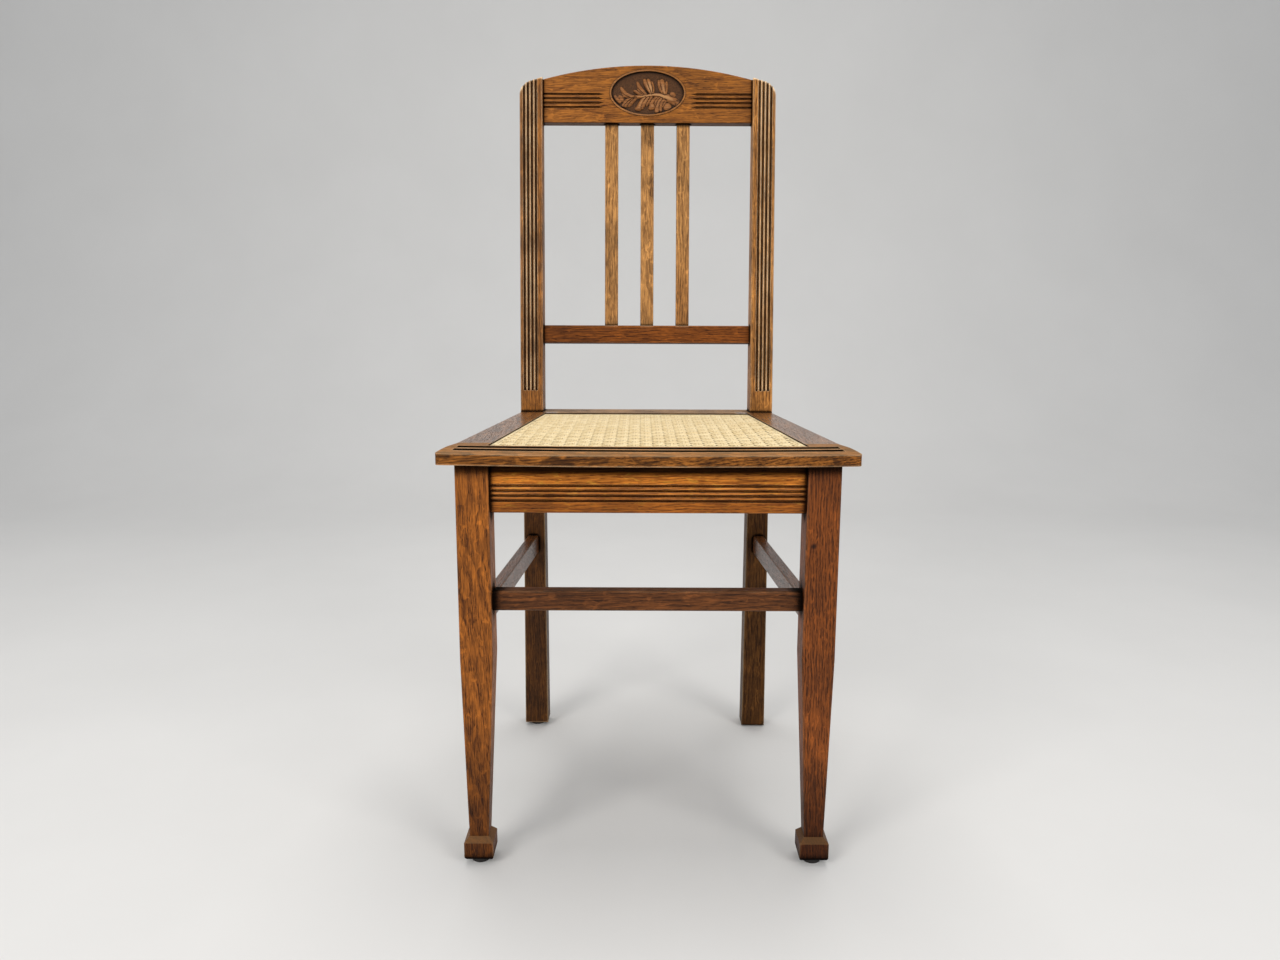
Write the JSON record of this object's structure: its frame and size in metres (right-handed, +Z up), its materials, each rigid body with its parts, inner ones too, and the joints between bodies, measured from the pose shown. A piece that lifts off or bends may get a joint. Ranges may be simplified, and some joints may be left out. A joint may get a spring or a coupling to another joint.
{
  "type": "dining chair",
  "caption": "Oak dining chair with a woven cane seat, slatted raked back, arched crest with a carved oval, grooved apron, tapered front legs and low stretchers.",
  "frame": {"origin": "on the floor, under the middle of the chair's overall box", "axes": "+Z up, -Y is the chair's front, +X is the chair's right as seen from the front"},
  "size_m": [0.4234, 0.4366, 0.9128],
  "materials": {
    "oak": "satin wax polish",
    "block_wood": "raw sawn",
    "cane": "natural rattan peel",
    "reed_spline": "natural reed",
    "glide": "matt",
    "screw_steel": "plain"
  },
  "bodies": {
    "root": {"back_post_left": "oak", "back_post_right": "oak", "back_slat_left": "oak", "back_slat_middle": "oak", "back_slat_right": "oak", "cane_panel": "cane", "cane_spline_front": "reed_spline", "cane_spline_left": "reed_spline", "cane_spline_rear": "reed_spline", "cane_spline_right": "reed_spline", "corner_block_front_left": "block_wood", "corner_block_front_right": "block_wood", "corner_block_rear_left": "block_wood", "corner_block_rear_right": "block_wood", "crest_rail": "oak", "front_apron": "oak", "front_leg_left": "oak", "front_leg_right": "oak", "front_stretcher": "oak", "glide_front_left": "glide", "glide_front_right": "glide", "glide_rear_left": "glide", "glide_rear_right": "glide", "lower_back_rail": "oak", "rear_apron": "oak", "seat_front_rail": "oak", "seat_rear_rail": "oak", "seat_screws": "screw_steel", "seat_side_rail_left": "oak", "seat_side_rail_right": "oak", "side_apron_left": "oak", "side_apron_right": "oak", "side_stretcher_left": "oak", "side_stretcher_right": "oak"}
  },
  "joints": []
}
